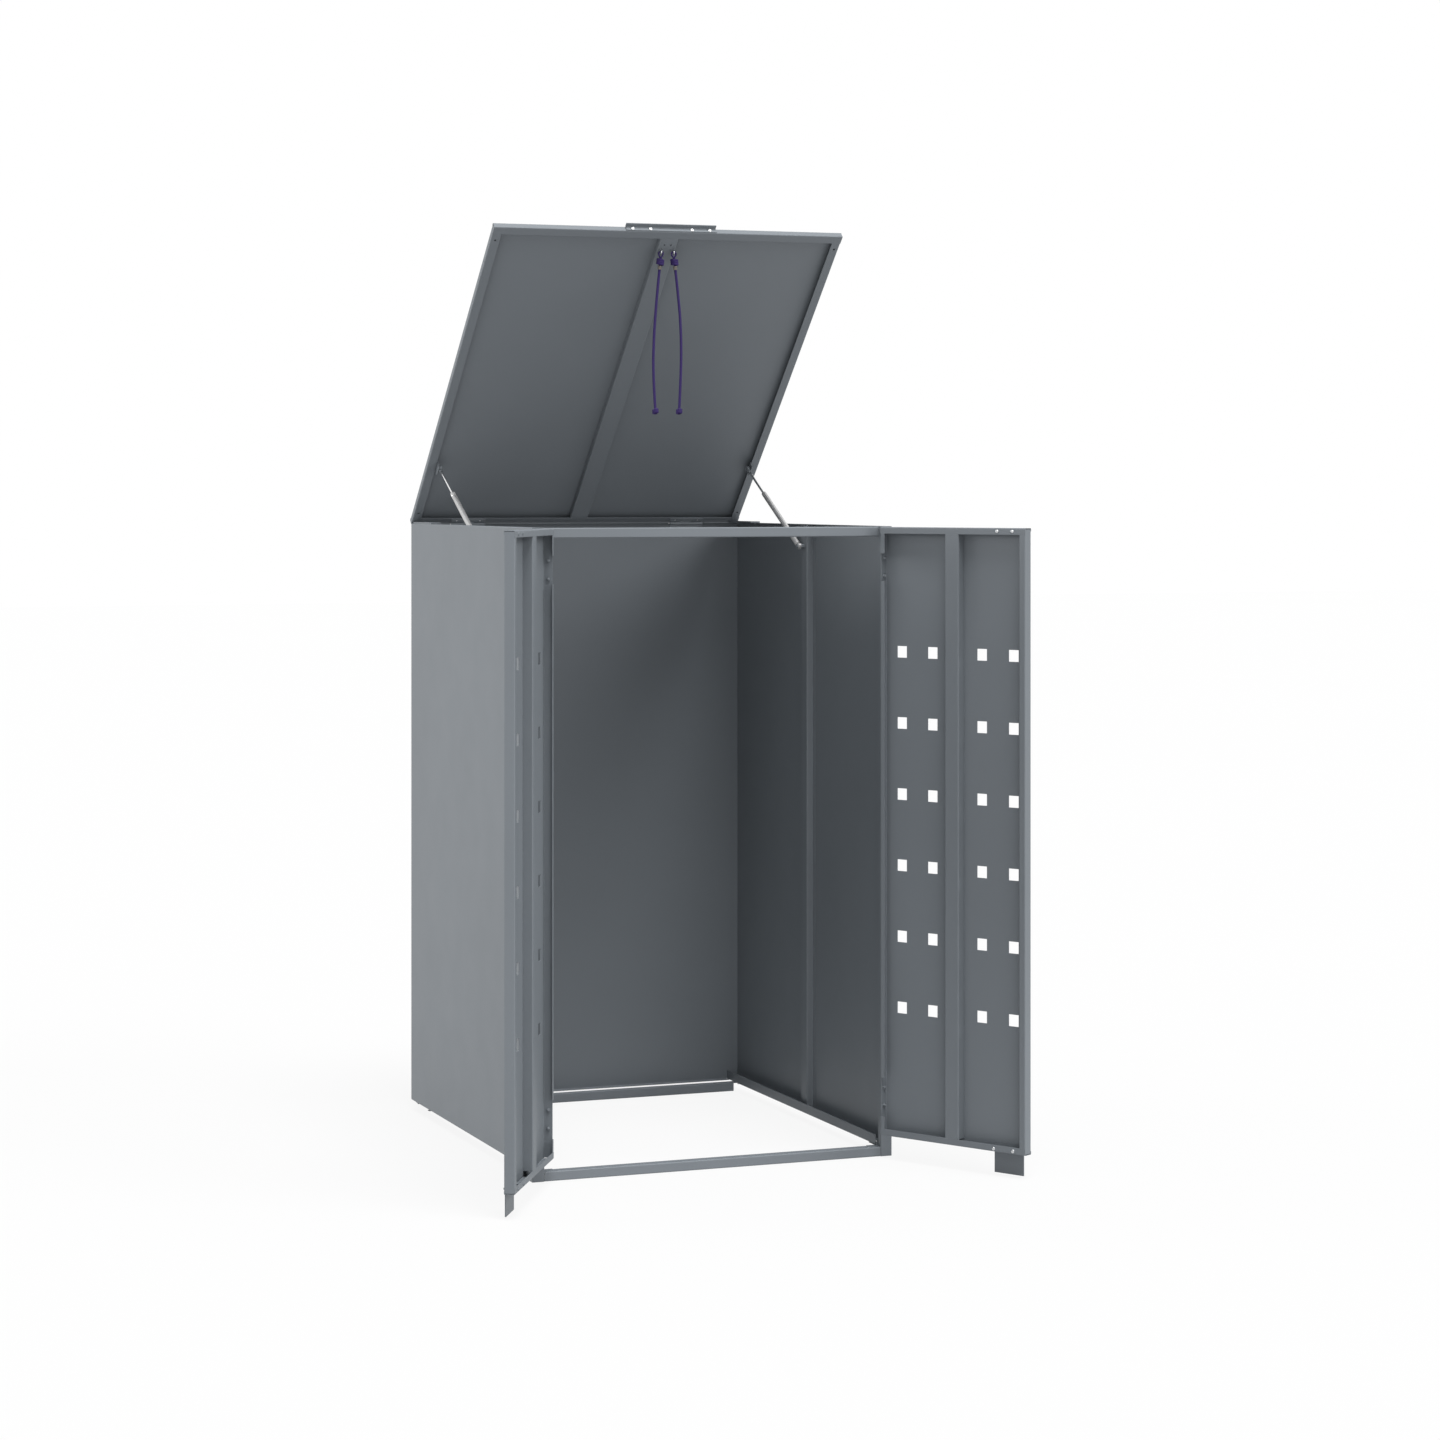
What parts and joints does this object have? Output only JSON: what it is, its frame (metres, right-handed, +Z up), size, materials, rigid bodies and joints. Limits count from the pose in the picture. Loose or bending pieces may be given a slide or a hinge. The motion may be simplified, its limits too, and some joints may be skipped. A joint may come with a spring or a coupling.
{
  "type": "wheelie bin store",
  "caption": "Folded steel store for one wheelie bin, with double doors and a lid held up by gas struts.",
  "frame": {"origin": "on the floor, in the middle of the underside of the front base rail", "axes": "+X right, +Y towards the back panel, +Z up"},
  "size_m": [0.974, 1.0803, 1.7103],
  "materials": {
    "painted_sheet": "satin powder coat, fine texture",
    "zinc_fasteners": "bright zinc plate",
    "zinc_hinges": "painted with the sheet",
    "strut_tube": "light grey, smooth",
    "strut_rod": "polished",
    "ferrule": "dull crimped sleeve",
    "cord": "dark violet braided cover"
  },
  "bodies": {
    "carcass": {"back_base_rail": "painted_sheet", "back_hinge_leaves": "zinc_hinges", "back_hinge_rivets": "zinc_fasteners", "back_panel": "painted_sheet", "corner_plate_left": "painted_sheet", "corner_plate_right": "painted_sheet", "corner_rivets_left": "zinc_fasteners", "corner_rivets_right": "zinc_fasteners", "door_hinge_pins_left": "zinc_hinges", "door_hinge_pins_right": "zinc_hinges", "front_base_rail": "painted_sheet", "front_top_bar": "painted_sheet", "lid_hinge_pins": "zinc_hinges", "post_hinge_leaves_left": "zinc_hinges", "post_hinge_leaves_right": "zinc_hinges", "post_hinge_rivets_left": "zinc_fasteners", "post_hinge_rivets_right": "zinc_fasteners", "rail_bolts": "zinc_fasteners", "side_panel_left": "painted_sheet", "side_panel_right": "painted_sheet", "side_stiffener_left": "painted_sheet", "side_stiffener_right": "painted_sheet", "strut_stud_left": "zinc_hinges", "strut_stud_right": "zinc_hinges"},
    "door_left": {"door_bolts_left": "zinc_fasteners", "door_hinge_bolts_left": "zinc_fasteners", "door_hinge_leaves_left": "zinc_hinges", "door_panel_left": "painted_sheet", "door_stiffener_left": "painted_sheet", "door_stop_plate_left": "painted_sheet"},
    "door_right": {"door_bolts_right": "zinc_fasteners", "door_hinge_bolts_right": "zinc_fasteners", "door_hinge_leaves_right": "zinc_hinges", "door_panel_right": "painted_sheet", "door_stiffener_right": "painted_sheet", "door_stop_plate_right": "painted_sheet"},
    "lid": {"bracket_rivets_left": "zinc_fasteners", "bracket_rivets_right": "zinc_fasteners", "cord_hooks": "zinc_fasteners", "lid_handle": "painted_sheet", "lid_handle_bolts": "zinc_fasteners", "lid_hinge_leaves": "zinc_hinges", "lid_hinge_rivets": "zinc_fasteners", "lid_panel": "painted_sheet", "lid_stiffener": "painted_sheet", "strut_bracket_left": "zinc_hinges", "strut_bracket_right": "zinc_hinges"},
    "strut_tube_left": {"strut_tube_left": "strut_tube"},
    "strut_rod_left": {"strut_rod_left": "strut_rod"},
    "strut_tube_right": {"strut_tube_right": "strut_tube"},
    "strut_rod_right": {"strut_rod_right": "strut_rod"},
    "cord_left": {"cord_end_left": "cord", "cord_ferrule_left": "ferrule", "cord_knot_left": "cord", "cord_left": "cord"},
    "cord_right": {"cord_end_right": "cord", "cord_ferrule_right": "ferrule", "cord_knot_right": "cord", "cord_right": "cord"}
  },
  "joints": [
    {"name": "door_left_hinge", "type": "hinge", "parent": "carcass", "child": "door_left", "pos_m": [-0.327, -0.0129, 0.6], "axis": [0, 0, -1], "range_deg": [-120, 55]},
    {"name": "door_right_hinge", "type": "hinge", "parent": "carcass", "child": "door_right", "pos_m": [0.327, -0.0129, 0.6], "axis": [0, 0, 1], "range_deg": [-120, 55]},
    {"name": "lid_hinge", "type": "hinge", "parent": "carcass", "child": "lid", "pos_m": [0, 0.7598, 1.149], "axis": [-1, 0, 0], "range_deg": [-44.8, 0]},
    {"name": "strut_pivot_left", "type": "hinge", "parent": "carcass", "child": "strut_tube_left", "pos_m": [-0.3205, 0.3775, 1.1086], "axis": [1, 0, 0], "range_deg": [-21, 0.5]},
    {"name": "strut_slide_left", "type": "slide", "parent": "strut_tube_left", "child": "strut_rod_left", "axis": [0, 0.8751, 0.4839], "range_m": [-0.08, 0.0005]},
    {"name": "cord_swing_left", "type": "hinge", "parent": "lid", "child": "cord_left", "pos_m": [-0.0125, 0.24232, 1.65935], "axis": [-1, 0, 0], "range_deg": [-0.5, 45.3]},
    {"name": "strut_pivot_right", "type": "hinge", "parent": "carcass", "child": "strut_tube_right", "pos_m": [0.3205, 0.3775, 1.1086], "axis": [1, 0, 0], "range_deg": [-21, 0.5]},
    {"name": "strut_slide_right", "type": "slide", "parent": "strut_tube_right", "child": "strut_rod_right", "axis": [0, 0.8751, 0.4839], "range_m": [-0.08, 0.0005]},
    {"name": "cord_swing_right", "type": "hinge", "parent": "lid", "child": "cord_right", "pos_m": [0.0125, 0.24232, 1.65935], "axis": [-1, 0, 0], "range_deg": [-0.5, 45.3]}
  ],
  "couplings": [
    {"joint": "strut_pivot_left", "follows": "lid_hinge", "ratio": 0.42751},
    {"joint": "strut_slide_left", "follows": "lid_hinge", "m_per_rad": 0.10188},
    {"joint": "cord_swing_left", "follows": "lid_hinge", "ratio": -1},
    {"joint": "strut_pivot_right", "follows": "lid_hinge", "ratio": 0.42751},
    {"joint": "strut_slide_right", "follows": "lid_hinge", "m_per_rad": 0.10188},
    {"joint": "cord_swing_right", "follows": "lid_hinge", "ratio": -1}
  ]
}
